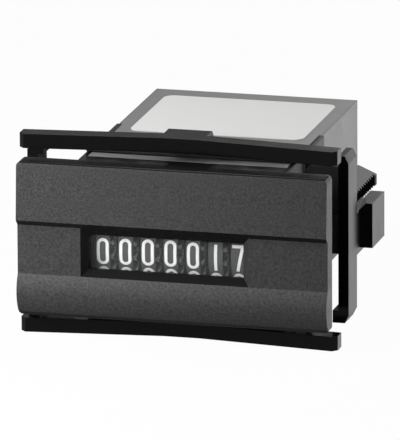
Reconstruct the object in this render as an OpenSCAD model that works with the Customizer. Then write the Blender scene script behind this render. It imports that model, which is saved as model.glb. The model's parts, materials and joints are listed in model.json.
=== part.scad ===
// Panel counter: a seven digit counter with a pulse magnet, held in a panel by a sprung mounting frame.
// The front faces -Y, depth runs along +Y and +Z is up. The origin is the centre of the bezel's rear face.

/* [Front] */
// Width of the front bezel
front_w = 48; // [46:0.5:56]
// Height of the front bezel
front_h = 24; // [23:0.5:30]
// Thickness of the bezel at its upper edge
front_t = 3.2; // [3:0.1:5]
// How far the upper band leans out at its lower edge
band_lean = 0.5; // [0:0.1:1]
// Height of the upper band
upper_band_h = 9; // [8:0.1:10]
// Height of the sloping step under the upper band
step_h = 0.85; // [0.4:0.05:1.5]
// Depth of the middle band below the edge of the upper band
recess = 0.9; // [0.4:0.05:1.2]
// Height of the middle band without the step
middle_band_h = 7.55; // [7:0.05:9]
// Thickness of the bezel at its lower edge
lower_edge_t = 1.9; // [1.2:0.1:2.6]
// How far the lower band bulges in front of a straight line
lower_bulge = 1.3; // [0.6:0.1:1.8]
// Radius of the bezel's upper front edge
edge_r = 0.5; // [0.2:0.1:1]
// Radius of the bezel's corners seen from the front
corner_r = 0.7; // [0.3:0.1:1.5]

/* [Window] */
// Width of the window at the middle band
window_w = 26; // [24.5:0.1:27]
// Sideways place of the window's centre
window_x = -1.2; // [-2:0.1:1]
// Width of the window's bevel
bevel_w = 1.05; // [0.5:0.05:1.4]
// Width of the bevel at the window's upper edge
bevel_top_w = 1.2; // [0.5:0.05:1.4]
// Depth of the window's bevel
bevel_d = 1.2; // [0.6:0.1:1.5]
// Thickness of the lens
lens_t = 0.8; // [0.5:0.1:0.9]
// Depth of the pocket that holds the lens
lens_pocket_d = 1.2; // [1:0.1:1.3]
// How far the lens reaches behind the window's edge
lens_lap = 1; // [0.6:0.1:1.5]

/* [Case] */
// Height of the case and of the collar
case_h = 22; // [21.5:0.1:22.6]
// Width of the rear cup
cup_w = 31.9; // [31.5:0.1:32.2]
// How far the side cheeks stand out from the cup's sides
cheek_step = 0.3; // [0.25:0.05:0.5]
// Thickness of a cheek and of the collar's sides
cheek_t = 0.6; // [0.6:0.05:1.15]
// Wall of the case
wall = 1.1; // [0.9:0.05:1.15]
// Depth of the closed collar behind the bezel
collar_d = 6.2; // [5:0.1:7]
// Place where the cheeks end and the full width of the cup starts
cheek_end = 26.4; // [24:0.1:29]
// Depth of the case behind the panel face
case_d = 49; // [48:0.5:60]
// Chamfer along the case's lower edges
case_chamfer = 1.4; // [0.4:0.1:1.4]
// Width of the groove between a cheek and the case's upper and lower plates
groove_w = 0.25; // [0.2:0.05:1]
// Width of the rim round the case's rear face
rear_rim = 1.6; // [1:0.1:3]
// Depth of the rear face inside its rim
rear_recess = 0.4; // [0.2:0.05:0.5]
// Clearance between moulded pieces that seat on each other
seat_gap = 0.15; // [0.08:0.01:0.2]

/* [Side rails] */
// Width of a rail beside its cheek, to the tooth tips
rail_w = 2.75; // [2:0.05:3.2]
// Height of the rail's top where it meets the case
rail_root_z = 0.76; // [0.4:0.01:1]
// Height of the rail's upper outer edge
rail_top_z = -0.5; // [-0.9:0.01:-0.2]
// Height of the rail's underside
rail_low_z = -2.15; // [-2.6:0.01:-1.8]
// Place where a rail starts
rail_start = 14; // [13.5:0.1:16]
// Pitch of the saw teeth
tooth_pitch = 1.2; // [0.9:0.1:1.8]
// Depth of the saw teeth
tooth_d = 0.45; // [0.3:0.05:0.6]

/* [Label] */
// Width of the label plate
label_w = 27.2; // [20:0.1:28]
// Length of the label plate
label_l = 22.5; // [16:0.1:24]
// Margin between the label plate and the case's rear edge
label_margin = 3.9; // [1:0.1:6]
// Sideways place of the label plate
label_x = 0.15; // [-0.3:0.05:0.3]
// Thickness of the label plate
label_t = 0.1; // [0.06:0.01:0.15]
// Corner radius of the label plate
label_r = 1.6; // [0.5:0.1:3]

/* [Mounting frame] */
// Length of a leaf bar
leaf_l = 49.2; // [48.5:0.1:56]
// Height of a leaf bar
leaf_h = 2.2; // [1.4:0.1:2.6]
// Thickness of a leaf bar
leaf_t = 2.95; // [1.2:0.05:3.2]
// Gap between the bezel's edge and a leaf bar, seen from the front
leaf_gap = 1.2; // [1:0.1:2]
// Place of a leaf bar's ends behind the panel face
leaf_end_y = 0.35; // [0.3:0.05:1.5]
// How far the middle of a leaf bar is bowed back
leaf_bow = 2.4; // [1:0.1:2.8]
// Width of a leaf bar's straight middle
leaf_mid_w = 5.4; // [3:0.1:8]
// Chamfer on a leaf bar's ends
leaf_chamfer = 0.8; // [0.4:0.1:1.2]
// Width of the tab that carries a leaf bar
tab_w = 6.8; // [4:0.1:9]
// Place of the ring's cross rails
rail_front = 8.4; // [8.1:0.1:9]
// Place of the ring's side walls
ring_y = 11; // [10.5:0.1:12]
// Rear end of the ring
ring_end = 15; // [14.5:0.1:17]
// Wall of the ring
ring_t = 1.05; // [0.8:0.05:1.3]
// Clearance of the ring round the case
ring_gap = 0.25; // [0.2:0.01:0.3]
// Reach of the upright bars' outer faces
upright_reach = 24.95; // [24.8:0.05:27]
// Thickness of the upright bars
upright_t = 1.6; // [1:0.05:1.8]
// Length of the upright bars
upright_l = 25.3; // [22:0.1:26.4]
// Extra length of an upright bar at the end without a foot
upright_peak = 0.6; // [0:0.05:0.8]
// Front of the upright bars
upright_y = 6.5; // [6:0.1:7]
// Depth of the upright bars
upright_d = 5.3; // [4:0.1:6]
// Height of the chamfer at an upright bar's ends
upright_chamfer = 1.2; // [0.6:0.1:2]
// Width of the foot at one end of an upright bar
foot_w = 2.5; // [2:0.05:2.8]
// Height of that foot
foot_h = 1.9; // [1.5:0.1:4]
// Thickness of the web between the ring and an upright bar
web_t = 1.2; // [0.8:0.1:2]
// Size of the cut corner of that web
web_corner = 2.2; // [0.5:0.1:3]
// Thickness of the finger block
block_t = 2; // [1:0.1:3]
// Length of the finger block
block_l = 7.7; // [5:0.1:9]
// Height of the finger block
block_h = 6.9; // [5:0.05:8]
// Height of the finger block's middle
block_z = 0.85; // [0.5:0.01:1.2]
// Place of the finger block
block_y = 13.4; // [13:0.1:15]
// Cut corner at the inner upper edge of the finger block
block_corner = 1; // [0.3:0.1:1.4]
// Clearance between the lifted pawl and the rail's teeth
pawl_gap = 0.2; // [0.12:0.01:0.4]

/* [Digit drums] */
// Number of drums
drum_count = 7; // [7]
// Sideways place of the drums from the window's centre
drum_shift = 0.1; // [-0.3:0.05:0.3]
// Room between the drums and the bottom of the case
drum_room = 0.8; // [0.5:0.05:1.2]
// Distance from drum to drum
drum_pitch = 3.5; // [3.4:0.01:3.55]
// Width of a drum's printed face
face_w = 2.2; // [2:0.05:2.3]
// Height of the drum axis
drum_z = -1.9; // [-2.2:0.05:-1.6]
// Gap between the lens and the drums
drum_front_gap = 0.8; // [0.6:0.05:1.2]
// Axial clearance between neighbouring drums
drum_gap = 0.1; // [0.06:0.01:0.2]
// Radius of the drum shaft
shaft_r = 1; // [0.8:0.05:1.2]
// Running clearance of a bore on its shaft
run_gap = 0.03; // [0.02:0.005:0.06]

/* [Transfer train] */
// How far a ring's tooth tips lie below the drum's printed face
ring_sink = 0.15; // [0.05:0.05:0.4]
// Teeth on a drum's ring
ring_teeth = 20; // [20]
// Teeth on a pinion
pinion_teeth = 8; // [8]
// Height of a tooth above the pitch circle, as a share of the module
tooth_share = 0.78; // [0.6:0.02:0.8]
// Extra depth at the root of a tooth
root_room = 0.2; // [0.15:0.01:0.3]
// Backlash along the pitch circle
backlash = 0.3; // [0.2:0.02:0.4]
// Radius of the pinion shaft
pinion_shaft_r = 0.6; // [0.45:0.05:0.7]
// Gap between a carry disc and the pinion tips
carry_gap = 0.2; // [0.12:0.02:0.3]
// Depth of the two carry teeth
carry_tooth = 0.6; // [0.3:0.05:0.8]
// How far the ratchet wheel's tips lie below the drum's printed face
ratchet_sink = 1.7; // [1.4:0.1:2.2]
// Depth of the ratchet wheel's teeth
ratchet_d = 1.3; // [0.8:0.1:1.6]
// Thickness of the ratchet wheel and of the pallet fork
ratchet_w = 1.2; // [0.8:0.05:1.4]
// Gap between the pallets and the ratchet wheel
pallet_gap = 0.2; // [0.12:0.02:0.3]

/* [Mechanism frame] */
// Thickness of the side plates
plate_t = 1.4; // [1:0.05:1.45]
// Length of the side plates behind the cross wall
plate_tail = 2.4; // [1:0.1:3]
// Room between the pinions and the cross wall
cross_room = 0.55; // [0.4:0.05:1]
// Thickness of the cross wall and of the rear arms
cross_t = 1.2; // [0.8:0.1:1.4]

/* [Magnet] */
// Height of the coil axis
coil_z = -1.5; // [-1.8:0.05:-1]
// Room between the bobbin and the yoke's upper limb
bobbin_room = 0.6; // [0.4:0.05:1]
// How far the winding lies inside the bobbin's flanges
winding_sink = 0.5; // [0.3:0.05:1.2]
// Room between the yoke and the case's rear wall
rear_room = 1.3; // [0.6:0.1:2]
// Radius of the core
core_r = 2.5; // [2:0.1:2.7]
// Wall of the bobbin's tube
bobbin_wall = 0.9; // [0.5:0.05:1]
// Thickness of a bobbin flange
flange_t = 0.9; // [0.6:0.05:1]
// Thickness of the yoke strip
yoke_t = 1.5; // [1:0.1:1.6]
// Width of the yoke strip
yoke_w = 11; // [10:0.1:11.4]
// Thickness of the armature
armature_t = 1.2; // [0.8:0.05:1.3]
// Width of the armature
armature_w = 9.2; // [8.5:0.1:9.4]
// Room between the cross wall and the armature
armature_room = 4.4; // [4.2:0.1:5]
// Air gap between the armature and the core
air_gap = 0.6; // [0.58:0.02:0.8]
// Radius of the armature pin
pin_r = 0.5; // [0.4:0.05:0.55]
// Wire radius of the return spring
wire_r = 0.15; // [0.1:0.01:0.2]
// Coil radius of the return spring, to the middle of the wire
spring_r = 0.7; // [0.5:0.05:0.8]
// Room between the spring's axis and the top of the case
spring_room = 1.3; // [1.2:0.05:1.6]
// Height of the spring's axis above the yoke
spring_rise = 1.6; // [1.2:0.05:2]
// Distance from the spring's rear anchor to the bobbin's rear end
anchor_back = 7; // [5:0.1:9]
// Number of turns of the return spring
spring_turns = 11; // [8:1:14]

/* [Terminals] */
// Width of a blade terminal
blade_w = 6.3; // [4.8:0.1:6.5]
// Thickness of a blade terminal
blade_t = 0.8; // [0.5:0.05:1]
// Length of a blade outside the case
blade_l = 8; // [6:0.1:10]
// Distance of a blade from the middle plane
blade_x = 9; // [8.6:0.1:11]
// Radius of the hole in a blade
blade_hole_r = 0.85; // [0.5:0.05:1]

/* [Hidden] */
// Overlap of shapes that belong to one piece
bite = 0.2;
// Reach of a cut past the face that it starts from
past = 1;
round_fn = 64;
half_turns = [0, 180];

// Bezel section
front_top = front_h / 2;
upper_low_z = front_top - upper_band_h;
middle_top_z = upper_low_z - step_h;
middle_low_z = middle_top_z - middle_band_h;
upper_low_y = -(front_t + band_lean);
middle_y = upper_low_y + recess;
bulge_from = [middle_y, middle_low_z];
bulge_to = [-lower_edge_t, -front_top];
bulge_chord = norm(bulge_to - bulge_from);
bulge_r = bulge_chord * bulge_chord / (8 * lower_bulge) + lower_bulge / 2;
bulge_dir = (bulge_to - bulge_from) / bulge_chord;
bulge_centre = (bulge_from + bulge_to) / 2 + (bulge_r - lower_bulge) * [-bulge_dir[1], bulge_dir[0]];

// Window and lens
window_h = middle_top_z - middle_low_z;
window_z = (middle_top_z + middle_low_z) / 2;
opening_w = window_w - 2 * bevel_w;
opening_h = window_h - bevel_w - bevel_top_w;
opening_z = window_z + (bevel_w - bevel_top_w) / 2;
lens_back_y = lens_t - lens_pocket_d;

// Case
case_top = case_h / 2;
cup_half = cup_w / 2;
cheek_half = cup_half + cheek_step;
cheek_w = 2 * cheek_half;
arm_root = cup_half + cheek_step / 2;
rail_reach = cheek_half + rail_w;
cheek_inner = cheek_half - cheek_t;
case_inner_z = case_top - wall;
cup_start = cheek_end + seat_gap;
cup_inner = cup_half - wall;
cup_floor = case_d - wall;
label_y = case_d - label_margin - label_l;

// Mounting frame
leaf_low_z = front_top + leaf_gap;
leaf_top_z = leaf_low_z + leaf_h;
leaf_half = leaf_l / 2;
leaf_mid_y = leaf_end_y + leaf_bow;
ring_inner_x = cheek_half + ring_gap;
ring_inner_z = case_top + ring_gap;
ring_outer_x = ring_inner_x + ring_t;
ring_outer_z = ring_inner_z + ring_t;
upright_inner = upright_reach - upright_t;
upright_half = upright_l / 2;
upright_end = upright_y + upright_d;
upright_tip = upright_reach - upright_chamfer / 2;
bridge_y = upright_y + 1;
bridge_top = 3.9;
bridge_low = -2.2;
bridge_step_x = 21.5;
web_y = bridge_y + 0.5;
web_top = case_top + 0.2;
post_y = ring_y + 2.4;
slot_x = rail_reach + ring_gap;
tongue_margin = 0.75;

// Drums and train
drum_r = case_inner_z + drum_z - drum_room;
ratchet_r = drum_r - ratchet_sink;
gear_module = (drum_r - ring_sink) / (ring_teeth / 2 + tooth_share);
tooth_reach = gear_module * tooth_share;
drum_y = lens_back_y + drum_front_gap + drum_r;
drum_w = drum_pitch - drum_gap;
face_half = face_w / 2;
drum_half = drum_w / 2;
units_x = window_x + drum_shift + drum_pitch * (drum_count - 1) / 2;
top_drum_x = window_x + drum_shift - drum_pitch * (drum_count - 1) / 2;
ring_pitch_r = gear_module * ring_teeth / 2;
pinion_pitch_r = gear_module * pinion_teeth / 2;
ring_root_r = ring_pitch_r - tooth_reach - root_room;
ring_tip_r = ring_pitch_r + tooth_reach;
pinion_root_r = pinion_pitch_r - tooth_reach - root_room;
pinion_tip_r = pinion_pitch_r + tooth_reach;
pinion_y = drum_y + ring_pitch_r + pinion_pitch_r;
pitch_thick = gear_module * PI / 2 - backlash / 2;
carry_r = ring_pitch_r + pinion_pitch_r - pinion_tip_r - carry_gap;
hub_r = 2 * shaft_r;
pocket_r = carry_r - carry_tooth - 1;
digit_step = 36;

// Mechanism frame
plate_outer = cheek_inner - seat_gap;
plate_inner = plate_outer - plate_t;
plate_half_z = case_inner_z - 2 * seat_gap;
cross_y = pinion_y + pinion_tip_r + cross_room;
plate_d = cross_y + cross_t + plate_tail;
ratchet_x = units_x + drum_half + 2 * seat_gap;
fork_x = ratchet_x;
fork_end = fork_x + ratchet_w;

// Magnet
armature_y = cross_y + cross_t + armature_room;
armature_back = armature_y + armature_t;
pole_y = armature_back + air_gap;
pin_y = armature_y + armature_t / 2;
barrel_r = armature_t;
spring_z = case_inner_z - spring_room;
limb_top = spring_z - spring_rise;
limb_low = limb_top - yoke_t;
limb_front = pin_y + barrel_r + seat_gap;
pin_z = limb_low + yoke_t / 2;
yoke_end = cup_floor - rear_room;
yoke_back = yoke_end - yoke_t;
yoke_half = yoke_w / 2;
bobbin_y = pole_y + flange_t;
bobbin_end = yoke_back - run_gap;
bobbin_half = limb_low - bobbin_room - coil_z;
bobbin_w = 2 * bobbin_half;
winding_r = bobbin_half - winding_sink;
tube_r = core_r + 2 * run_gap + bobbin_wall;
arm_x = bobbin_half + seat_gap;
arm_top = coil_z + 2;
arm_low = coil_z - 2;
anchor_y = bobbin_end - anchor_back;

DRUMS = [for (i = [1:7]) str("digit_drum_", i)];
PINIONS = [for (i = [1:6]) str("transfer_pinion_", i)];

// Box between two corners
module box(from, to) {
    translate(from) cube(to - from);
}

// Outline in Y and Z, drawn out along X
module prism_x(from, to) {
    translate([from, 0, 0]) rotate([90, 0, 90]) linear_extrude(to - from) children();
}

// Outline in X and Z, drawn out along Y
module prism_y(from, to) {
    translate([0, to, 0]) rotate([90, 0, 0]) linear_extrude(to - from) children();
}

// Outline in X and Y, drawn out along Z
module prism_z(from, to) {
    translate([0, 0, from]) linear_extrude(to - from) children();
}

// Rod along X
module rod_x(from, to, r, y, z) {
    translate([from, y, z]) rotate([0, 90, 0]) cylinder(h = to - from, r = r, $fn = round_fn);
}

// Rod along Y
module rod_y(from, to, r, x, z) {
    translate([x, from, z]) rotate([-90, 0, 0]) cylinder(h = to - from, r = r, $fn = round_fn);
}

// Rectangle with round corners, centred
module round_rect(w, h, r) {
    square([w, h - 2 * r], center = true);
    square([w - 2 * r, h], center = true);
    for (sx = [-1, 1], sy = [-1, 1])
        translate([sx * (w / 2 - r), sy * (h / 2 - r)]) circle(r, $fn = round_fn);
}

// Section of the case seen from the front, with chamfered lower edges
module case_outline(half_w) {
    c = case_chamfer;
    polygon([[-half_w, case_top], [half_w, case_top], [half_w, c - case_top], [half_w - c, -case_top],
             [c - half_w, -case_top], [-half_w, c - case_top]]);
}

// Side section of the bezel: upper band, step, middle band and bulging lower band
module bezel_section() {
    top_y = edge_r - front_t;
    polygon([[0, -front_top], [0, front_top], [top_y, front_top], [-front_t, front_top - edge_r],
             [upper_low_y, upper_low_z], bulge_from + [0, window_h], bulge_from, bulge_to]);
    translate([top_y, front_top - edge_r]) circle(edge_r, $fn = round_fn);
    intersection() {
        translate(bulge_centre) circle(bulge_r, $fn = round_fn);
        translate([-front_w, -front_top]) square([front_w, front_top + middle_low_z]);
    }
}

// Bevelled opening of the window, as a cut
module window_cut() {
    inner_y = middle_y + bevel_d;
    intersection() {
        prism_x(window_x - window_w, window_x + window_w)
            polygon([[middle_y, middle_low_z], [middle_y, middle_top_z],
                     [inner_y, middle_top_z - bevel_top_w], [inner_y, middle_low_z + bevel_w]]);
        prism_z(-front_h, front_h)
            polygon([[window_x - window_w / 2, middle_y], [window_x + window_w / 2, middle_y],
                     [window_x + opening_w / 2, inner_y], [window_x - opening_w / 2, inner_y]]);
    }
    translate([window_x, 0, opening_z]) prism_y(inner_y - bite, past)
        square([opening_w, opening_h], center = true);
    translate([window_x, 0, opening_z]) prism_y(-lens_pocket_d, past)
        square([opening_w + 2 * lens_lap, opening_h + 2 * lens_lap], center = true);
}

// Toothed rail on one side, an arm of the bezel's cheek; its saw teeth stop the frame from creeping back
module side_rail(from, to) {
    difference() {
        prism_y(from, to)
            polygon([[arm_root, rail_root_z], [rail_reach, rail_top_z], [rail_reach, rail_low_z],
                     [arm_root, rail_low_z]]);
        for (y = [to - 2 * tooth_pitch : -tooth_pitch : from])
            prism_z(rail_low_z - past, rail_root_z + past)
                polygon([[rail_reach, y], [rail_reach + past, y + tooth_pitch],
                         [rail_reach - tooth_d, y + tooth_pitch]]);
    }
}

module front_bezel() color([0.22, 0.22, 0.23]) {
    difference() {
        intersection() {
            prism_x(-front_w / 2, front_w / 2) bezel_section();
            prism_y(-front_w, past) round_rect(front_w, front_h, corner_r);
        }
        window_cut();
    }
    prism_y(-bite, cheek_end) difference() {
        case_outline(cheek_half);
        square([2 * cheek_inner, 2 * case_h], center = true);
    }
    prism_y(-bite, collar_d) difference() {
        case_outline(cheek_half);
        square([2 * cheek_inner, 2 * case_inner_z], center = true);
    }
    for (turn = half_turns) rotate([0, turn, 0]) side_rail(rail_start, case_d);
}

module window_lens() color([0.8, 0.85, 0.85, 0.35]) {
    lap = 2 * (lens_lap - seat_gap);
    translate([window_x, 0, opening_z]) prism_y(-lens_pocket_d, lens_back_y)
        square([opening_w + lap, opening_h + lap], center = true);
}

module case_cup() color([0.45, 0.45, 0.46]) {
    slip = cheek_inner - groove_w;
    difference() {
        prism_y(cup_start, case_d) case_outline(cup_half);
        box([-cup_inner, cup_start - past, -case_inner_z], [cup_inner, cup_floor, case_inner_z]);
        prism_y(case_d - rear_recess, case_d + past)
            square([cup_w - 2 * (rear_rim + case_chamfer), case_h - 2 * (rear_rim + case_chamfer)], center = true);
        for (side = [-1, 1])
            box([side * blade_x - blade_t / 2 - run_gap, cup_floor - past, -blade_w / 2 - run_gap],
                [side * blade_x + blade_t / 2 + run_gap, case_d + past, blade_w / 2 + run_gap]);
    }
    intersection() {
        prism_y(collar_d + seat_gap, cup_start + bite) difference() {
            case_outline(cup_half);
            square([cup_w * 2, 2 * case_inner_z], center = true);
        }
        box([-slip, 0, -case_h], [slip, case_d, case_h]);
    }
}

module label_plate() color([0.88, 0.88, 0.87]) {
    translate([label_x, label_y + label_l / 2, 0]) prism_z(case_top, case_top + label_t)
        round_rect(label_w, label_l, label_r);
}

// Bowed leaf bar over the bezel's upper edge, with the tab that carries it
module leaf_bar() {
    mid = leaf_mid_w / 2;
    prism_z(leaf_low_z, leaf_top_z)
        polygon([[-leaf_half, leaf_end_y + leaf_chamfer], [leaf_chamfer - leaf_half, leaf_end_y],
                 [-mid, leaf_mid_y], [mid, leaf_mid_y],
                 [leaf_half - leaf_chamfer, leaf_end_y], [leaf_half, leaf_end_y + leaf_chamfer],
                 [leaf_half, leaf_end_y + leaf_t], [mid, leaf_mid_y + leaf_t],
                 [-mid, leaf_mid_y + leaf_t], [-leaf_half, leaf_end_y + leaf_t]]);
    tab_y = leaf_mid_y + leaf_t - bite;
    prism_x(-tab_w / 2, tab_w / 2)
        polygon([[tab_y, leaf_top_z], [rail_front + bite, leaf_top_z], [ring_y, ring_outer_z],
                 [ring_y, ring_outer_z - bite], [rail_front, ring_outer_z - bite], [tab_y, leaf_low_z]]);
}

// Upright bar with its tongue, finger block and pawl, on the right-hand side
module side_latch() {
    block_low = block_z - block_h / 2;
    block_top = block_z + block_h / 2;
    tongue_low = block_low - tongue_margin;
    tongue_top = block_top - 1.2 * block_corner;
    block_end = block_y + block_l;
    pawl_tip = rail_reach + pawl_gap;
    pawl_back = block_end - bite;
    prism_y(upright_y, upright_end)
        polygon([[upright_inner, upright_half + upright_peak], [upright_tip, upright_half + upright_peak],
                 [upright_reach, upright_half + upright_peak - upright_chamfer],
                 [upright_reach, upright_chamfer - upright_half], [upright_tip, -upright_half],
                 [upright_reach - foot_w, -upright_half], [upright_reach - foot_w, foot_h - upright_half],
                 [upright_inner, foot_h - upright_half]]);
    box([upright_inner, upright_end - bite, tongue_low], [upright_reach, block_end, tongue_top]);
    prism_y(block_y, block_end)
        polygon([[upright_reach - bite, block_low], [upright_reach + block_t, block_low],
                 [upright_reach + block_t, block_top], [upright_reach + block_corner, block_top],
                 [upright_reach, block_top - block_corner], [upright_reach - bite, block_top - block_corner - bite]]);
    prism_z(rail_low_z, rail_top_z)
        polygon([[upright_inner + bite, block_y + block_l / 2], [pawl_tip, pawl_back - 2 * tongue_margin],
                 [pawl_tip, pawl_back], [upright_inner + bite, pawl_back]]);
}

// Bridge and web from the ring to an upright bar, on the right-hand side
module bridge() {
    prism_y(web_y, web_y + web_t)
        polygon([[ring_inner_x, bridge_top - bite], [upright_inner + bite, bridge_top - bite],
                 [upright_inner + bite, web_top], [ring_inner_x + web_corner, web_top],
                 [ring_inner_x, web_top - web_corner]]);
    low_step = bridge_low - past - tongue_margin;
    prism_y(bridge_y, ring_end)
        polygon([[ring_outer_x - bite, bridge_top], [upright_inner + bite, bridge_top],
                 [upright_inner + bite, bridge_low], [bridge_step_x, bridge_low],
                 [bridge_step_x, low_step], [ring_outer_x - bite, low_step]]);
}

module mounting_frame() color([0.06, 0.06, 0.06]) {
    difference() {
        union() {
            prism_y(ring_y, ring_end) square([2 * ring_outer_x, 2 * ring_outer_z], center = true);
            prism_y(rail_front, ring_end) square([cheek_w, 2 * ring_outer_z], center = true);
            for (turn = half_turns) rotate([0, turn, 0]) bridge();
        }
        prism_y(0, case_d) square([2 * ring_inner_x, 2 * ring_inner_z], center = true);
        for (turn = half_turns) rotate([0, turn, 0]) {
            box([0, 0, rail_low_z - ring_gap], [slot_x, case_d, rail_root_z + ring_gap]);
            box([ring_inner_x - bite, ring_y - past, -front_h], [slot_x - past, post_y, bridge_low - 2 * past]);
            box([ring_inner_x - bite, ring_y - past, bridge_top + bite], [slot_x - past, post_y, front_h]);
        }
    }
    for (turn = half_turns) rotate([0, turn, 0]) {
        leaf_bar();
        side_latch();
    }
}

// Half angle of an arc length at a radius
function half_angle(length, r) = length / r * 90 / PI;

// Outline of a gear with straight flanks; a tooth points along the first axis when phase is 0
function gear_points(teeth, root_r, pitch_r, tip_r, every, phase) = [
    for (i = [0 : every : teeth - 1]) let (
        turn = phase + 360 * i / teeth,
        slope = pitch_thick * 0.4,
        at_root = half_angle(pitch_thick + slope, root_r),
        at_tip = half_angle(pitch_thick - slope, tip_r),
        deep = root_r - root_room)
        each [[deep, turn - at_root], [tip_r, turn - at_tip], [tip_r, turn + at_tip], [deep, turn + at_root]]
];

module gear(teeth, root_r, pitch_r, tip_r, every, phase) {
    polygon([for (p = gear_points(teeth, root_r, pitch_r, tip_r, every, phase)) p[0] * [cos(p[1]), sin(p[1])]]);
    circle(root_r, $fn = round_fn);
}

// Saw-toothed wheel that the pallets step round
module ratchet_outline() {
    step = digit_step;
    root_r = ratchet_r - ratchet_d;
    polygon([for (i = [0 : 9]) each [ratchet_r * [cos(i * step), sin(i * step)],
                                    root_r * [cos(i * step + step / 5), sin(i * step + step / 5)],
                                    root_r * [cos(i * step + step / 2), sin(i * step + step / 2)]]]);
}

// Drum with its printed face, gear ring on the right, carry disc on the left and hub
module digit_drum(index) color([0.16, 0.16, 0.17]) {
    x = top_drum_x + (index - 1) * drum_pitch;
    units = index == drum_count;
    hub_end = units ? plate_inner - drum_gap - x : drum_half;
    translate([x, drum_y, drum_z]) difference() {
        union() {
            prism_x(-face_half, face_half) circle(drum_r, $fn = round_fn);
            prism_x(-drum_half, hub_end) circle(hub_r, $fn = round_fn);
            if (!units)
                prism_x(face_half - bite, drum_half)
                    gear(ring_teeth, ring_root_r, ring_pitch_r, ring_tip_r, 1, 180 / ring_teeth);
            if (units)
                prism_x(ratchet_x - x, ratchet_x - x + ratchet_w) ratchet_outline();
            if (index > 1)
                prism_x(-drum_half, bite - face_half) {
                    circle(carry_r - carry_tooth, $fn = round_fn);
                    for (a = [-1, 1])
                        rotate(a * 180 / ring_teeth)
                            translate([0, -gear_module / 2]) square([carry_r - gear_module / 10, gear_module]);
                }
        }
        prism_x(-drum_half - past, hub_end + past) circle(shaft_r + run_gap, $fn = round_fn);
        prism_x(-drum_half - past, face_half - wall) difference() {
            circle(pocket_r, $fn = round_fn);
            circle(hub_r, $fn = round_fn);
        }
    }
}

// Pinion: eight teeth in mesh with the higher drum's ring, four of them long enough for the lower drum's carry
module transfer_pinion(index) color([0.85, 0.83, 0.78]) {
    x = top_drum_x + (index - 1) * drum_pitch + face_half + drum_gap / 2;
    mesh_w = drum_half - face_half;
    total_w = drum_pitch - face_w - drum_gap;
    translate([x, pinion_y, drum_z]) difference() {
        union() {
            prism_x(0, mesh_w) gear(pinion_teeth, pinion_root_r, pinion_pitch_r, pinion_tip_r, 1, 0);
            prism_x(mesh_w - bite, total_w) gear(pinion_teeth, pinion_root_r, pinion_pitch_r, pinion_tip_r, 2, 45);
        }
        prism_x(-past, total_w + past) circle(pinion_shaft_r + run_gap, $fn = round_fn);
    }
}

module drum_shaft() color([0.7, 0.7, 0.72]) {
    rod_x(-plate_outer, plate_outer, shaft_r, drum_y, drum_z);
}

module pinion_shaft() color([0.7, 0.7, 0.72]) {
    rod_x(-plate_outer, plate_outer, pinion_shaft_r, pinion_y, drum_z);
}

// Moulded frame: two side plates, a cross wall and two rear arms that hold the coil
module mechanism_frame() color([0.8, 0.8, 0.76]) {
    cross_end = cross_y + cross_t;
    wall_x = fork_x - 2 * drum_gap - past / 2;
    front_y = seat_gap * 2;
    cut = 2 * wall;
    difference() {
        for (side = [-1, 1])
            prism_x(side > 0 ? plate_inner : -plate_outer, side > 0 ? plate_outer : -plate_inner)
                polygon([[front_y, cut - plate_half_z], [front_y + cut, -plate_half_z], [plate_d, -plate_half_z],
                         [plate_d, plate_half_z], [front_y + cut, plate_half_z], [front_y, plate_half_z - cut]]);
        rod_x(-front_w, front_w, shaft_r + run_gap / 2, drum_y, drum_z);
        rod_x(-front_w, front_w, pinion_shaft_r + run_gap / 2, pinion_y, drum_z);
    }
    box([-plate_inner - bite, cross_y, -plate_half_z], [wall_x, cross_end, plate_half_z]);
    box([wall_x - bite, cross_y, pin_z + bite], [plate_inner + bite, cross_end, plate_half_z]);
    box([wall_x - bite, cross_y, -plate_half_z], [plate_inner + bite, cross_end, past - plate_half_z]);
    for (side = [-1, 1])
        box([side > 0 ? arm_x : -arm_x - cross_t, cross_end - bite, arm_low],
            [side > 0 ? arm_x + cross_t : -arm_x, yoke_end, arm_top]);
}

module coil_bobbin() color([0.9, 0.88, 0.8]) {
    difference() {
        union() {
            translate([0, 0, coil_z]) {
                prism_y(bobbin_y, bobbin_y + flange_t) round_rect(bobbin_w, bobbin_w, wall);
                prism_y(bobbin_end - flange_t, bobbin_end) round_rect(bobbin_w, bobbin_w, wall);
            }
            rod_y(bobbin_y, bobbin_end, tube_r, 0, coil_z);
        }
        rod_y(bobbin_y - past, bobbin_end + past, core_r + run_gap, 0, coil_z);
    }
}

module coil_winding() color([0.62, 0.3, 0.12]) {
    difference() {
        rod_y(bobbin_y + flange_t + run_gap, bobbin_end - flange_t - run_gap, winding_r, 0, coil_z);
        rod_y(bobbin_y, bobbin_end, tube_r + run_gap, 0, coil_z);
    }
}

module coil_core() color([0.6, 0.6, 0.6]) {
    rod_y(pole_y, yoke_end, core_r, 0, coil_z);
}

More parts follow.
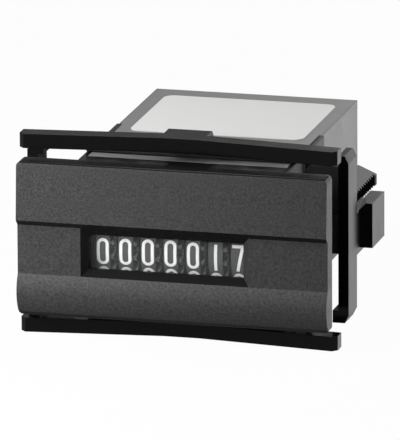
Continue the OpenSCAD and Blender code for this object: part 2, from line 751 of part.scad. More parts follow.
// Bent strip: rear plate, upper limb, two lugs for the armature pin and a tab for the spring
module magnet_yoke() color([0.55, 0.56, 0.58]) {
    lug_half = pin_r + yoke_t / 2;
    lug_front = pin_y - lug_half;
    lug_w = (yoke_w - armature_w) / 2 + pin_r;
    difference() {
        union() {
            box([-yoke_half, yoke_back, coil_z - bobbin_half + wall], [yoke_half, yoke_end, limb_top]);
            box([-yoke_half, limb_front, limb_low], [yoke_half, yoke_end, limb_top]);
            for (side = [-1, 1])
                prism_x(side > 0 ? yoke_half - lug_w : -yoke_half, side > 0 ? yoke_half : lug_w - yoke_half) {
                    translate([pin_y, pin_z]) circle(lug_half, $fn = round_fn);
                    translate([pin_y, limb_low]) square([limb_front - pin_y + bite, yoke_t]);
                }
            box([-past, anchor_y, limb_top - bite], [past, anchor_y + yoke_t / 2, spring_z + past]);
        }
        rod_y(yoke_back - past, yoke_end + past, core_r + run_gap / 2, 0, coil_z);
        rod_x(-yoke_w, yoke_w, pin_r + run_gap / 2, pin_y, pin_z);
        rod_y(anchor_y - past, anchor_y + yoke_t, 2 * wire_r, 0, spring_z);
    }
}

module armature() color([0.58, 0.58, 0.6]) {
    barrel_half = armature_w / 2 - wall;
    low_z = coil_z - core_r - past;
    difference() {
        union() {
            box([-armature_w / 2, armature_y, low_z], [armature_w / 2, armature_back, limb_low - wall]);
            box([-barrel_half, armature_y, limb_low - wall - bite], [barrel_half, armature_back, pin_z]);
            rod_x(-barrel_half, barrel_half, barrel_r, pin_y, pin_z);
            box([-past, armature_y, pin_z], [past, armature_back, spring_z + past]);
        }
        rod_x(-armature_w, armature_w, pin_r + run_gap, pin_y, pin_z);
        rod_y(armature_y - past, armature_back + past, 3 * wire_r, 0, spring_z);
    }
}

module armature_pin() color([0.75, 0.75, 0.77]) {
    rod_x(-yoke_half, yoke_half, pin_r, pin_y, pin_z);
}

// Fork with two pallets that reach round the pinion shaft to the ratchet wheel
module pallet_lever() color([0.82, 0.8, 0.72]) {
    pallet_turn = 50;
    reach = ratchet_r + pallet_gap;
    lift = 0.55;
    upper = [drum_y + (reach + lift) * cos(pallet_turn), drum_z + (reach + lift) * sin(pallet_turn)];
    lower = [drum_y + reach * cos(pallet_turn), drum_z - reach * sin(pallet_turn)];
    bar = 1.6;
    base_y = pinion_y + pinion_tip_r;
    inner = 2.2;
    base_end = armature_y - armature_t;
    prism_x(fork_x, fork_end)
        polygon([upper, upper + [bar / 2, bar], [base_y, upper[1] + bar], [base_end, upper[1] + bar],
                 [base_end, arm_top], [base_y + bar, lower[1] - bar / 3], [lower[0] + bar, lower[1] - bar / 2],
                 lower, [lower[0] + bar, lower[1] + bar / 3], [base_y - bar / 4, drum_z - inner],
                 [base_y - bar / 4, drum_z + inner], [upper[0] + bar, upper[1] - bar / 4]]);
    box([-past, base_end - bite, arm_top + 2 * seat_gap], [fork_end, armature_y, upper[1] + bar]);
}

// Middle of the spring's wire; both ends run straight through the holes that hold them
function spring_point(t) = let (
    lead = 0.14,
    swing = 0.05,
    edge = min(t, 1 - t),
    ease = max(0, min(1, (edge - lead) / swing)),
    turn = 360 * spring_turns * max(0, min(1, (t - lead) / (1 - 2 * lead))),
    y = armature_y + (anchor_y + yoke_t - armature_y) * t)
    [ease * spring_r * cos(turn), y, spring_z + ease * spring_r * sin(turn)];

module return_spring() color([0.8, 0.8, 0.82]) {
    rings = spring_turns * 14;
    sides = 6;
    points = [for (i = [0 : rings]) let (
        p = spring_point(i / rings),
        ahead = spring_point(min(1, (i + 1) / rings)),
        behind = spring_point(max(0, (i - 1) / rings)),
        along = (ahead - behind) / norm(ahead - behind),
        side = cross(along, [0, 0, 1]) / norm(cross(along, [0, 0, 1])),
        up = cross(side, along))
        for (s = [0 : sides - 1])
            p + wire_r * (cos(360 * s / sides) * side + sin(360 * s / sides) * up)];
    faces = concat([[for (s = [0 : sides - 1]) s]],
        [for (i = [0 : rings - 1], s = [0 : sides - 1]) let (a = i * sides + s, b = i * sides + (s + 1) % sides)
            [a, a + sides, b + sides, b]],
        [[for (s = [sides - 1 : -1 : 0]) rings * sides + s]]);
    polyhedron(points, faces, convexity = 10);
}

// Blade terminal with a pointed end and a hole, through the rear wall
module blade_terminal(side) color([0.8, 0.78, 0.7]) {
    tip = case_d + blade_l;
    point = blade_w / 5;
    translate([side * blade_x, 0, 0]) difference() {
        prism_x(-blade_t / 2, blade_t / 2)
            polygon([[yoke_end, -blade_w / 2], [tip - point, -blade_w / 2], [tip, point - blade_w / 2],
                     [tip, blade_w / 2 - point], [tip - point, blade_w / 2], [yoke_end, blade_w / 2]]);
        rod_x(-past, past, blade_hole_r, tip - blade_w / 2, 0);
    }
}

front_bezel();
window_lens();
case_cup();
label_plate();
mounting_frame();
for (i = [1 : 7]) digit_drum(i);
for (i = [1 : 6]) transfer_pinion(i);
drum_shaft();
pinion_shaft();
mechanism_frame();
coil_bobbin();
coil_winding();
coil_core();
magnet_yoke();
armature();
armature_pin();
pallet_lever();
return_spring();
blade_terminal(-1);  // terminal_left
blade_terminal(1);  // terminal_right
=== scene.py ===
"""Looks of the panel counter: materials, printed digits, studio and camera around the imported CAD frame."""
import json
import math

import bpy
from mathutils import Matrix, Vector


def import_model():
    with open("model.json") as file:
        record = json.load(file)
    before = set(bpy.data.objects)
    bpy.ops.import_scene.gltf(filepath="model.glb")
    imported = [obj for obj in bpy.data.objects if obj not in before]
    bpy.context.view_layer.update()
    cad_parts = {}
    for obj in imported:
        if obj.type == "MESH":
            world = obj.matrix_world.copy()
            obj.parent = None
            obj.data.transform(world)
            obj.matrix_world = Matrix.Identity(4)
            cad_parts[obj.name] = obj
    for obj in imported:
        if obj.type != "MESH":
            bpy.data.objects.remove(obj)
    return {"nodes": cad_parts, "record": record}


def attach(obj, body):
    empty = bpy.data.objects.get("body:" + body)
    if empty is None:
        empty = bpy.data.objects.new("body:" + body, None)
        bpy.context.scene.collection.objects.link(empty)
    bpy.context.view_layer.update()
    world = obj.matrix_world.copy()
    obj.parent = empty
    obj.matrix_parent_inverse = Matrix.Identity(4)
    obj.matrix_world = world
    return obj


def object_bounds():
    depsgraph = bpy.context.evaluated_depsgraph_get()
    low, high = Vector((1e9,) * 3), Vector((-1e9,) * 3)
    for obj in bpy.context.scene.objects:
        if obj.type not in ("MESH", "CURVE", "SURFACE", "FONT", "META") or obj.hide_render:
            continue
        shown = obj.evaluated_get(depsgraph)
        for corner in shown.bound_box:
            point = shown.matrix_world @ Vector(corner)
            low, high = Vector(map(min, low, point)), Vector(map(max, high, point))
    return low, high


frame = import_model()
CAD_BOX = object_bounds()
MM = 0.001

# Digit drums in mm: axis in Y and Z, radius, pitch and the middle of their row in X

DRUM_AXIS = (7.6, -1.9)
DRUM_R = 7.2
DRUM_PITCH = 3.5
DRUM_ROW_X = -1.1

# Limits between which paint changes: places in mm, or the part of a face's normal along an axis

FRONT_NORMAL_Y = (-0.72, -0.80)
SIDE_NORMAL_X = (0.7, 0.9)
BEZEL_END_X = (22, 23)
BEZEL_REAR_Y = (0.05, -0.05)
JAMB_NORMAL_X = (-0.3, -0.5)
JAMB_X = (21, 20)
CASE_EDGE_X = (15.7, 15.85)
CASE_EDGE_Z = (10.5, 10.7)
CHEEK_X = (16.6, 16.4)
CHEEK_Y = (0.1, 0.3)
CHEEK_Z = (10.9, 10.75)
WEB_NORMAL_Y = (-0.8, -0.9)
WEB_X = (23.4, 23.2)
WEB_Y = (7.0, 7.2)
RING_R = (DRUM_R - 0.15, DRUM_R - 0.25)
# width of the change at the end of the painted light ahead and half width of the change at the top of the
# painted highlight, in mm
PAINTED_LIGHT_FADE = 0.3
HIGHLIGHT_FADE = 0.08

# Values of the procedural surfaces

# how much of the front's lighter paint the window's right bevel has, as painted light from the left
JAMB_PAINTED_LIGHT = 0.68
# how much of the grain stays outside a mask
PLAIN_GRAIN = 0.05
# part of the noise over which colour and gloss spread
NOISE_RANGE = (0.3, 0.7)
NOISE_ROUGHNESS = 0.55
FINE_DETAIL = 3.0
BROAD_DETAIL = 2.0
# size of the broad mottling, in sizes of the fine grain
BROAD_SIZE = 9.0
SURFACE_IOR = 1.5
BEVEL_SAMPLES = 6

# Node helpers


def new_material(name):
    mat = bpy.data.materials.new(name)
    mat.use_nodes = True
    mat.node_tree.nodes.clear()
    return mat


def add(tree, kind, **sockets):
    """A new node with values on its sockets; an underscore stands for a space in a socket's name."""
    node = tree.nodes.new(kind)
    for key, value in sockets.items():
        node.inputs[key.replace("_", " ")].default_value = value
    return node


def noise(tree, coords, scale, detail, stretch):
    tex = add(tree, "ShaderNodeTexNoise", Scale=scale, Detail=detail, Roughness=NOISE_ROUGHNESS)
    if stretch:
        mapping = add(tree, "ShaderNodeMapping", Scale=stretch)
        tree.links.new(coords, mapping.inputs["Vector"])
        coords = mapping.outputs["Vector"]
    tree.links.new(coords, tex.inputs["Vector"])
    return tex.outputs["Fac"]


def remap(tree, value, low, high, limits=NOISE_RANGE):
    """The value, spread evenly from low at the first limit to high at the second."""
    node = add(tree, "ShaderNodeMapRange", From_Min=limits[0], From_Max=limits[1], To_Min=low, To_Max=high)
    tree.links.new(value, node.inputs["Value"])
    return node.outputs["Result"]


def tint(tree, value, dark, light):
    """Colour from dark to light over the noise's range."""
    ramp = add(tree, "ShaderNodeValToRGB")
    for element, position, color in zip(ramp.color_ramp.elements, NOISE_RANGE, (dark, light)):
        element.position = position
        element.color = (*color, 1)
    tree.links.new(value, ramp.inputs["Fac"])
    return ramp.outputs["Color"]


def math_node(tree, operation, first, second=0.0):
    node = add(tree, "ShaderNodeMath")
    node.operation = operation
    for socket, value in zip(node.inputs, (first, second)):
        if isinstance(value, (int, float)):
            socket.default_value = value
        else:
            tree.links.new(value, socket)
    return node.outputs[0]


def product(tree, value, *factors):
    for factor in factors:
        value = math_node(tree, "MULTIPLY", value, factor)
    return value


def smooth_step(tree, value, limits, unit=1.0):
    """0 up to the first limit and 1 from the second on, with a soft change between them."""
    node = add(tree, "ShaderNodeMapRange", From_Min=limits[0] * unit, From_Max=limits[1] * unit)
    node.interpolation_type = "SMOOTHSTEP"
    tree.links.new(value, node.inputs["Value"])
    return node.outputs["Result"]


def axis_of(tree, vector, axis):
    split = add(tree, "ShaderNodeSeparateXYZ")
    tree.links.new(vector, split.inputs[0])
    return split.outputs[axis]


def place(tree, axis):
    """Place on the piece along an axis."""
    return axis_of(tree, add(tree, "ShaderNodeTexCoord").outputs["Object"], axis)


def normal(tree, axis):
    """Part of the face's own normal along an axis."""
    return axis_of(tree, add(tree, "ShaderNodeNewGeometry").outputs["True Normal"], axis)


def aside(tree):
    """Distance from the middle plane of the object."""
    return math_node(tree, "ABSOLUTE", place(tree, "X"))


def blend(tree, mask, low, high):
    """The low colour where the mask is 0 and the high one where it is 1; each is a tuple or a socket."""
    node = add(tree, "ShaderNodeMix")
    node.data_type = "RGBA"
    tree.links.new(mask, node.inputs["Factor"])
    for socket, value in ((node.inputs[6], low), (node.inputs[7], high)):
        if isinstance(value, tuple):
            socket.default_value = (*value, 1)
        else:
            tree.links.new(value, socket)
    return node.outputs[2]


# Masks, which say where on a piece a paint goes


def side_mask(tree):
    """1 on faces that look sideways, 0 elsewhere."""
    return smooth_step(tree, math_node(tree, "ABSOLUTE", normal(tree, "X")), SIDE_NORMAL_X)


def front_mask(tree):
    """1 on the bezel's grained front and ends, less on the window's right bevel, where the lighter front
    paint is painted light from the left, 0 elsewhere.
    """
    facing = smooth_step(tree, normal(tree, "Y"), FRONT_NORMAL_Y)
    ends = product(tree, side_mask(tree), smooth_step(tree, aside(tree), BEZEL_END_X, MM))
    leftward = smooth_step(tree, normal(tree, "X"), JAMB_NORMAL_X)
    # painted light: the window's right bevel, facing the left lamps, takes part of the lighter front paint
    painted_light_jamb = product(tree, leftward, smooth_step(tree, aside(tree), JAMB_X, MM), JAMB_PAINTED_LIGHT)
    grained = math_node(tree, "MAXIMUM", math_node(tree, "MAXIMUM", facing, ends), painted_light_jamb)
    return product(tree, grained, smooth_step(tree, place(tree, "Y"), BEZEL_REAR_Y, MM))


def edge_shade_mask(tree):
    """0 in a narrow line along the long top edges of the case, where the darker plain paint is painted shade
    on their rounding, 1 elsewhere.
    """
    outer = smooth_step(tree, aside(tree), CASE_EDGE_X, MM)
    high = smooth_step(tree, place(tree, "Z"), CASE_EDGE_Z, MM)
    return math_node(tree, "SUBTRACT", 1.0, product(tree, outer, high))


def cheek_mask(tree):
    """1 on the outer sides of the bezel's collar and cheeks, 0 on their top edges, the rails and the rest;
    these sides are grey like the case, painted lighter than the case as painted light on their shade.
    """
    behind = smooth_step(tree, place(tree, "Y"), CHEEK_Y, MM)
    inside = smooth_step(tree, aside(tree), CHEEK_X, MM)
    below_edge = smooth_step(tree, place(tree, "Z"), CHEEK_Z, MM)
    return product(tree, side_mask(tree), behind, inside, below_edge)


def web_light_mask(tree):
    """1 on the front of the webs between the mounting frame's ring and its uprights, where a lighter paint is
    painted light on their shade, 0 elsewhere.
    """
    facing = smooth_step(tree, normal(tree, "Y"), WEB_NORMAL_Y)
    inside = smooth_step(tree, aside(tree), WEB_X, MM)
    behind = smooth_step(tree, place(tree, "Y"), WEB_Y, MM)
    return product(tree, facing, inside, behind)


def ring_light_mask(tree):
    """1 on the drums' rings and discs below the printed rim, where a lighter paint is painted light on their
    shade, 0 on the rim.
    """
    along = math_node(tree, "SUBTRACT", place(tree, "Y"), DRUM_AXIS[0] * MM)
    up = math_node(tree, "SUBTRACT", place(tree, "Z"), DRUM_AXIS[1] * MM)
    square = math_node(tree, "ADD", product(tree, along, along), product(tree, up, up))
    return smooth_step(tree, math_node(tree, "SQRT", square), RING_R, MM)


# Materials


def surface(name, color, rough, grain, depth, spread, rough_spread, edge=0.0, metallic=0.0, stretch=None,
            specular=0.5, alpha=1.0, mask=None, plain=None, painted_light_ahead=None, painted_highlight=None, patch=None):
    """A procedural surface: mottled colour, uneven gloss, fine bump and softly rounded edges.

    Lengths are in mm: the bump's depth, the edges' radius and the places of the painted light ahead and of
    the painted highlight.
    A mask keeps colour and grain inside it; outside, the surface has the plain colour and roughness.
    Painted light ahead is a lighter colour that the surface has ahead of a place along Y, standing in for
    light where that part lies in shade.
    A painted highlight is a height below which the paint is lighter by a gain, which fades out at a foot; it
    stands in for light falling on a crest.
    A patch is a mask with the colour that the surface has inside it.
    """
    mat = new_material(name)
    tree = mat.node_tree
    out = add(tree, "ShaderNodeOutputMaterial")
    bsdf = add(tree, "ShaderNodeBsdfPrincipled", Metallic=metallic, IOR=SURFACE_IOR, Alpha=alpha,
               Specular_IOR_Level=specular)
    coords = add(tree, "ShaderNodeTexCoord").outputs["Object"]
    fine = noise(tree, coords, grain, FINE_DETAIL, stretch)
    broad = noise(tree, coords, grain / BROAD_SIZE, BROAD_DETAIL, stretch)
    dark = tuple(c * (1 - spread) for c in color)
    light = tuple(c * (1 + spread) for c in color)
    paint = tint(tree, fine, dark, light)
    # painted highlight: lighter paint below a crest, fading out at a foot, standing in for light
    if painted_highlight:
        crest, foot, gain = painted_highlight
        height = place(tree, "Z")
        below = smooth_step(tree, height, (crest + HIGHLIGHT_FADE, crest - HIGHLIGHT_FADE), MM)
        fade = remap(tree, height, 0.0, 1.0, (foot * MM, crest * MM))
        highlight_paint = tint(tree, fine, tuple(c * gain for c in dark), tuple(c * gain for c in light))
        paint = blend(tree, product(tree, below, fade), paint, highlight_paint)
    # painted light: a lighter colour ahead of a place along Y, where the part lies in shade
    if painted_light_ahead:
        painted_light_color, painted_light_end = painted_light_ahead
        ahead = smooth_step(tree, place(tree, "Y"), (painted_light_end + PAINTED_LIGHT_FADE, painted_light_end), MM)
        paint = blend(tree, ahead, paint, painted_light_color)
    gloss = remap(tree, broad, rough - rough_spread, rough + rough_spread)
    bumps = fine
    if mask:
        plain_color, plain_rough = plain
        where = mask(tree)
        paint = blend(tree, where, plain_color, paint)
        outside = math_node(tree, "SUBTRACT", 1.0, where)
        gloss = math_node(tree, "ADD", gloss, product(tree, outside, plain_rough - rough))
        kept = math_node(tree, "ADD", product(tree, where, 1 - PLAIN_GRAIN), PLAIN_GRAIN)
        bumps = product(tree, fine, kept)
    # a patch's colour; the patches here are wholly or partly painted light
    if patch:
        patch_mask, patch_color = patch
        paint = blend(tree, patch_mask(tree), paint, patch_color)
    tree.links.new(paint, bsdf.inputs["Base Color"])
    tree.links.new(gloss, bsdf.inputs["Roughness"])
    bump = add(tree, "ShaderNodeBump", Strength=1.0, Distance=depth * MM)
    tree.links.new(bumps, bump.inputs["Height"])
    if edge:
        bevel = add(tree, "ShaderNodeBevel", Radius=edge * MM)
        bevel.samples = BEVEL_SAMPLES
        tree.links.new(bevel.outputs["Normal"], bump.inputs["Normal"])
    tree.links.new(bump.outputs["Normal"], bsdf.inputs["Normal"])
    tree.links.new(bsdf.outputs["BSDF"], out.inputs["Surface"])
    return mat


MATERIALS = {
    # the bezel's paint is lighter by 1.5 from -5.4 mm, fading out at -8.4 mm: a painted highlight on the top
    # of its lower bulge
    "bezel_plastic": surface(
        "bezel_grain", (0.035, 0.035, 0.0358), rough=0.55, grain=3400, depth=0.05, spread=0.36,
        rough_spread=0.05, edge=0.12, specular=0.2, mask=front_mask, plain=((0.0085, 0.0085, 0.0087), 0.2),
        # the collar's outer sides are grey like the case, and painted lighter than the case's grey to lift
        # their shade behind the bezel
        painted_highlight=(-5.4, -8.4, 1.5), patch=(cheek_mask, (0.17, 0.17, 0.172))),
    "lens": surface(
        "lens_clear", (0.25, 0.26, 0.26), rough=0.06, grain=900, depth=0.001, spread=0.02,
        rough_spread=0.02, alpha=0.05),
    "case_plastic": surface(
        "case_grey", (0.12, 0.12, 0.122), rough=0.38, grain=3000, depth=0.012, spread=0.05,
        # the narrow line along the case's long top edges has a darker plain paint: painted shade on their
        # rounding
        rough_spread=0.05, edge=0.2, mask=edge_shade_mask, plain=((0.07, 0.07, 0.071), 0.5),
        # the case's front top, ahead of 8.4 mm, has a much lighter paint: painted light where it lies in
        # shade under the mounting frame's top bar
        painted_light_ahead=((0.31, 0.31, 0.312), 8.4)),
    "label": surface(
        "label_bare", (0.60, 0.60, 0.59), rough=0.5, grain=600, depth=0.0005, spread=0.004,
        rough_spread=0.03, specular=0.3),
    "frame_plastic": surface(
        "frame_black", (0.006, 0.006, 0.006), rough=0.5, grain=1500, depth=0.004, spread=0.1,
        rough_spread=0.04, edge=0.15, specular=0.37, mask=side_mask, plain=((0.002, 0.002, 0.002), 0.14),
        # the front of the webs has a lighter paint than the black frame: painted light where they lie in
        # shade behind the bezel and top bar
        patch=(web_light_mask, (0.03, 0.03, 0.03))),
    "drum_plastic": surface(
        "drum_black", (0.078, 0.078, 0.079), rough=0.55, grain=2500, depth=0.002, spread=0.03,
        # the drums' rings and discs below the printed rim have a lighter paint than the drum: painted light
        # that lifts their shade below the rim
        rough_spread=0.03, patch=(ring_light_mask, (0.165, 0.165, 0.167))),
    "gear_plastic": surface(
        "gear_grey", (0.15, 0.15, 0.15), rough=0.4, grain=2500, depth=0.006, spread=0.05,
        rough_spread=0.05, edge=0.06),
    "shaft_steel": surface(
        "shaft_drawn", (0.56, 0.56, 0.58), rough=0.25, grain=3000, depth=0.004, spread=0.06,
        rough_spread=0.06, edge=0.05, metallic=1.0, stretch=(0.05, 1, 1)),
    "mechanism_plastic": surface(
        "mechanism_natural", (0.62, 0.61, 0.56), rough=0.45, grain=2200, depth=0.008, spread=0.05,
        rough_spread=0.05, edge=0.12),
    "winding": surface(
        "winding_enamel", (0.36, 0.12, 0.035), rough=0.3, grain=2600, depth=0.02, spread=0.15,
        rough_spread=0.06, metallic=0.8, stretch=(0.1, 2.2, 0.1)),
    "magnet_steel": surface(
        "magnet_plated", (0.5, 0.5, 0.52), rough=0.32, grain=2400, depth=0.005, spread=0.07,
        rough_spread=0.07, edge=0.08, metallic=1.0),
    "terminal": surface(
        "terminal_tinned", (0.72, 0.71, 0.68), rough=0.28, grain=2600, depth=0.005, spread=0.05,
        rough_spread=0.08, edge=0.06, metallic=1.0, stretch=(1, 0.12, 1)),
}
INK = surface(
    "digit_ink", (0.9, 0.9, 0.9), rough=0.45, grain=4000, depth=0.003, spread=0.02, rough_spread=0.05)

slots = {part["node"]: part["material_slot"] for part in frame["record"]["subparts"]}
for name, node in frame["nodes"].items():
    node.data.materials.clear()
    node.data.materials.append(MATERIALS[slots[name]])


def mesh_object(name, verts, faces, material):
    mesh = bpy.data.meshes.new(name)
    mesh.from_pydata(verts, [], faces)
    mesh.validate()
    mesh.update()
    obj = bpy.data.objects.new(name, mesh)
    bpy.context.scene.collection.objects.link(obj)
    mesh.materials.append(material)
    return obj


# Printed digits on the drums, in mm on the flat rim, from the middle of a digit

SHOWN = (0, 0, 0, 0, 0, 1, 7)
# small play of each drum at rest, in degrees
PLAY = (-1.9, -1.1, -0.2, 0.3, -0.6, -1.4, -0.6)
DIGIT_TURN = 36
MIDDLE_DRUM = 4
# half the width of a stroke, and half the width and height of a digit along its strokes' middle
INK_HALF = 0.235
HALF_W = 0.69
HALF_H = 1.83
FULL_H = HALF_H + INK_HALF
# height of the ink over the rim, its depth in it, and the step between strokes that cross
INK_TOP = 0.016
INK_FOOT = 0.012
INK_LAYER = 0.004
ARC_STEPS = 18
STROKE_STEP = 0.22
# smallest cosine to which a mitred corner reaches out
MITRE_LIMIT = 0.45


def arc(cx, cy, rx, ry, start, end):
    turn = [math.radians(start + (end - start) * i / ARC_STEPS) for i in range(ARC_STEPS + 1)]
    return [(cx + rx * math.cos(a), cy + ry * math.sin(a)) for a in turn]


def loop(low, high):
    """Closed upright loop with round ends, as wide as a digit."""
    top = arc(0, high - HALF_W, HALF_W, HALF_W, 0, 180)
    return top + arc(0, low + HALF_W, HALF_W, HALF_W, 180, 360)


def two():
    bow = arc(0, HALF_H - HALF_W, HALF_W, HALF_W, 170, -15)
    return [(bow + [(-HALF_W, -HALF_H), (HALF_W + 0.2, -HALF_H)], False)]


def three():
    upper = arc(-0.1, HALF_H / 2, 0.8, HALF_H / 2, 140, -90)
    lower = arc(-0.1, -HALF_H / 2, 0.8, HALF_H / 2, 90, -140)
    return [(upper + lower[1:], False)]


def four():
    stem = [(0.4, -FULL_H), (0.4, FULL_H)]
    arm = [(0.4, HALF_H), (-HALF_W, -0.6), (0.95, -0.6)]
    return [(stem, False), (arm, False)]


def five():
    flag = [(HALF_W, HALF_H), (-0.62, HALF_H), (-0.62, 0.2)]
    return [(flag + arc(-0.05, -0.68, 0.75, 1.15, 130, -140), False)]


def six():
    stem = arc(0, HALF_H - HALF_W, HALF_W, HALF_W, 15, 180) + [(-HALF_W, -0.6)]
    return [(loop(-HALF_H, 0.35), True), (stem, False)]


def eight():
    upper = arc(0, 0.93, 0.62, 0.9, -90, 270)
    lower = arc(0, -0.9, HALF_W, 0.93, 90, 450)
    return [(upper[:-1], True), (lower[:-1], True)]


def turned(strokes):
    return [([(-x, -y) for x, y in points], closed) for points, closed in strokes]


# strokes of each digit, as points and whether they close
GLYPHS = {
    0: [(loop(-HALF_H, HALF_H), True)],
    1: [([(0, -FULL_H), (0, FULL_H)], False)],
    2: two(),
    3: three(),
    4: four(),
    5: five(),
    6: six(),
    7: [([(-0.95, HALF_H), (HALF_W, HALF_H), (-0.1, -FULL_H)], False)],
    8: eight(),
    9: turned(six()),
}


def resample(points, closed):
    """The stroke's points with others between them, so that it bends with the rim."""
    ends = points[1:] + points[:1] if closed else points[1:]
    out = []
    for (x0, y0), (x1, y1) in zip(points, ends):
        count = max(1, math.ceil(math.hypot(x1 - x0, y1 - y0) / STROKE_STEP))
        out += [(x0 + (x1 - x0) * i / count, y0 + (y1 - y0) * i / count) for i in range(count)]
    return out if closed else out + [points[-1]]


def ribbon(points, closed):
    """Left and right edge points of a stroke with mitred corners."""
    n = len(points)
    edges = []
    for i, (x, y) in enumerate(points):
        ways = []
        if closed or i:
            before = points[(i - 1) % n]
            ways.append(Vector((x - before[0], y - before[1])).normalized())
        if closed or i < n - 1:
            after = points[(i + 1) % n]
            ways.append(Vector((after[0] - x, after[1] - y)).normalized())
        along = sum(ways, Vector((0, 0))).normalized()
        across = Vector((-along.y, along.x))
        reach = INK_HALF / max(MITRE_LIMIT, across.dot(Vector((-ways[0].y, ways[0].x))))
        left = (x + across.x * reach, y + across.y * reach)
        right = (x - across.x * reach, y - across.y * reach)
        edges.append((left, right))
    return edges


def on_drum(x, y, turn, centre_x, lift):
    """A point of a digit, laid round the drum's rim."""
    angle = y / DRUM_R + turn
    r = DRUM_R + lift
    along = DRUM_AXIS[0] - r * math.cos(angle)
    up = DRUM_AXIS[1] + r * math.sin(angle)
    return ((centre_x + x) * MM, along * MM, up * MM)


def stroke_mesh(verts, faces, points, closed, turn, centre_x, lift):
    """Add a closed four-sided bar along a stroke."""
    edges = ribbon(resample(points, closed), closed)
    base = len(verts)
    for left, right in edges:
        for (x, y), height in ((left, lift), (right, lift), (right, -INK_FOOT), (left, -INK_FOOT)):
            verts.append(on_drum(x, y, turn, centre_x, height))
    count = len(edges)
    for i in range(count if closed else count - 1):
        a = base + 4 * i
        b = base + 4 * ((i + 1) % count)
        for k in range(4):
            k2 = (k + 1) % 4
            faces.append((a + k, b + k, b + k2, a + k2))
    if not closed:
        last = base + 4 * (count - 1)
        faces.append((base, base + 1, base + 2, base + 3))
        faces.append((last + 3, last + 2, last + 1, last))


def drum_digits(index):
    verts, faces = [], []
    centre_x = DRUM_ROW_X + (index - MIDDLE_DRUM) * DRUM_PITCH
    for value, strokes in GLYPHS.items():
        turn = math.radians(DIGIT_TURN * (value - SHOWN[index - 1]) + PLAY[index - 1])
        for layer, (points, closed) in enumerate(strokes):
            stroke_mesh(verts, faces, points, closed, turn, centre_x, INK_TOP + INK_LAYER * layer)
    obj = mesh_object(f"digits_{index}", verts, faces, INK)
    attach(obj, f"drum_{index}")


for drum in range(1, len(SHOWN) + 1):
    drum_digits(drum)

# Full corners of the mounting frame's finger blocks behind their cut front corner, in mm

BLOCK_X = (24.8, 25.95)
BLOCK_Y = (13.45, 17.2, 21.1)
BLOCK_Z = (3.05, 4.3)
CORNER_SINK = 0.06


def block_corner(name, side):
    """A three-sided bar on the cut edge of a finger block; side is 1 on the right and -1 on the left."""
    (x0, x1), (front, full, rear), (z0, z1) = BLOCK_X, BLOCK_Y, BLOCK_Z
    low = (x0, z0)
    inner = (x0, z1)
    outer = (x1 + CORNER_SINK, z1)
    places = [(*low, front), (*inner, full), (*outer, front), (*low, rear), (*inner, rear), (*outer, rear)]
    verts = [(side * x * MM, y * MM, side * z * MM) for x, z, y in places]
    faces = [(0, 2, 1), (3, 4, 5), (0, 1, 4, 3), (1, 2, 5, 4), (2, 0, 3, 5)]
    obj = mesh_object(name, verts, faces, MATERIALS["frame_plastic"])
    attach(obj, "mounting_frame")


block_corner("block_corner_right", 1)
block_corner("block_corner_left", -1)

# Studio: floor, world and lamps, in metres and watts

FLOOR_HALF = 4.0
FLOOR_GAP = 0.00002
FLOOR_GREY = 0.45
# how much of what the camera sees of the floor is plain white
FLOOR_WHITE = 0.97
AMBIENT = 0.2
WHITE = (1, 1, 1, 1)


def floor():
    """White to the camera, grey paint to the light."""
    low = CAD_BOX[0].z - FLOOR_GAP
    corners = [(x * FLOOR_HALF, y * FLOOR_HALF, low) for x, y in ((-1, -1), (1, -1), (1, 1), (-1, 1))]
    mat = new_material("floor_white")
    tree = mat.node_tree
    out = add(tree, "ShaderNodeOutputMaterial")
    path = add(tree, "ShaderNodeLightPath")
    paint = add(tree, "ShaderNodeBsdfDiffuse", Color=(FLOOR_GREY, FLOOR_GREY, FLOOR_GREY, 1))
    glow = add(tree, "ShaderNodeEmission", Color=WHITE, Strength=1.0)
    mix = add(tree, "ShaderNodeMixShader")
    tree.links.new(product(tree, path.outputs["Is Camera Ray"], FLOOR_WHITE), mix.inputs["Fac"])
    tree.links.new(paint.outputs["BSDF"], mix.inputs[1])
    tree.links.new(glow.outputs["Emission"], mix.inputs[2])
    tree.links.new(mix.outputs["Shader"], out.inputs["Surface"])
    obj = mesh_object("floor", corners, [(0, 1, 2, 3)], mat)
    obj.visible_glossy = False
    obj.visible_shadow = False


def world():
    """White to the camera and through the lens, a weak even light for everything else."""
    sky = bpy.data.worlds.new("studio")
    bpy.context.scene.world = sky
    sky.use_nodes = True
    tree = sky.node_tree
    tree.nodes.clear()
    out = add(tree, "ShaderNodeOutputWorld")
    path = add(tree, "ShaderNodeLightPath")
    ambient = add(tree, "ShaderNodeBackground", Color=WHITE, Strength=AMBIENT)
    backdrop = add(tree, "ShaderNodeBackground", Color=WHITE, Strength=1.0)
    direct = math_node(tree, "MAXIMUM", path.outputs["Is Camera Ray"], path.outputs["Is Transmission Ray"])
    mix = add(tree, "ShaderNodeMixShader")
    tree.links.new(direct, mix.inputs["Fac"])
    tree.links.new(ambient.outputs[0], mix.inputs[1])
    tree.links.new(backdrop.outputs[0], mix.inputs[2])
    tree.links.new(mix.outputs[0], out.inputs["Surface"])


def area_lamp(name, origin, target, size, energy):
    data = bpy.data.lights.new(name, "AREA")
    data.shape = "SQUARE"
    data.size = size
    data.energy = energy
    obj = bpy.data.objects.new(name, data)
    bpy.context.scene.collection.objects.link(obj)
    obj.location = origin
    obj.rotation_euler = (Vector(target) - Vector(origin)).to_track_quat("-Z", "Y").to_euler()
    return obj


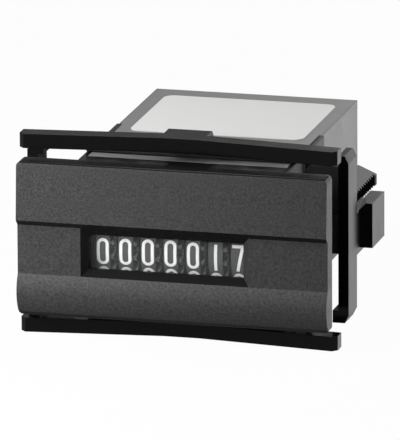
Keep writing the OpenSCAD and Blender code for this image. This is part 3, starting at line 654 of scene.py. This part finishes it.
floor()
world()
area_lamp("key", (-0.115, -0.078, 0.125), (0, 0.005, 0), 0.1, 0.36).visible_glossy = False
area_lamp("front", (-0.052, -0.083, 0.032), (-0.005, 0, 0), 0.06, 0.115).visible_glossy = False
area_lamp("rear_top", (0.0, 0.36, 0.34), (0, 0.02, 0), 0.3, 0.5)
area_lamp("right_fill", (0.45, 0.3, 0.2), (0, 0.02, 0), 0.3, 1.4).visible_glossy = False
# white backdrop behind the object and a white screen on its right, seen only as reflections
for screen in (area_lamp("backdrop", (1.15, 1.6, 1.15), (1.15, 0, 1.15), 3.0, 28.0),
               area_lamp("side_screen", (0.85, 0.6, -0.45), (0, 0, 0), 1.2, 19.0)):
    screen.visible_diffuse = False
    screen.visible_camera = False
    screen.visible_transmission = False

# Camera, fitted to the photograph: angles in degrees, distances in metres, picture in pixels, sensor in mm

AZIMUTH = 14.80
ELEVATION = 14.97
ROLL = -0.34
DISTANCE = 1.5
FOCAL_PX = 10005.0
IMAGE_W = 400
IMAGE_H = 440
ORIGIN_PX = (176.64, 243.10)
SENSOR_W = 36.0
CLIP_END = 50.0


def camera():
    data = bpy.data.cameras.new("camera")
    data.sensor_fit = "HORIZONTAL"
    data.sensor_width = SENSOR_W
    data.lens = FOCAL_PX * SENSOR_W / IMAGE_W
    data.clip_end = CLIP_END
    az, el, roll = (math.radians(a) for a in (AZIMUTH, ELEVATION, ROLL))
    away = Vector((math.sin(az) * math.cos(el), -math.cos(az) * math.cos(el), math.sin(el)))
    level = (-away).cross(Vector((0, 0, 1))).normalized()
    upright = level.cross(-away)
    right = level * math.cos(roll) + upright * math.sin(roll)
    up = upright * math.cos(roll) - level * math.sin(roll)
    per_px = DISTANCE / FOCAL_PX
    aim = right * (IMAGE_W / 2 - ORIGIN_PX[0]) * per_px + up * (ORIGIN_PX[1] - IMAGE_H / 2) * per_px
    eye = away * DISTANCE
    back = (eye - aim).normalized()
    right = up.cross(back).normalized()
    up = back.cross(right)
    turn = Matrix((right, up, back)).transposed()
    obj = bpy.data.objects.new("camera", data)
    bpy.context.scene.collection.objects.link(obj)
    obj.matrix_world = Matrix.Translation(eye) @ turn.to_4x4()
    bpy.context.scene.camera = obj


camera()
bpy.context.scene.view_settings.view_transform = "Standard"
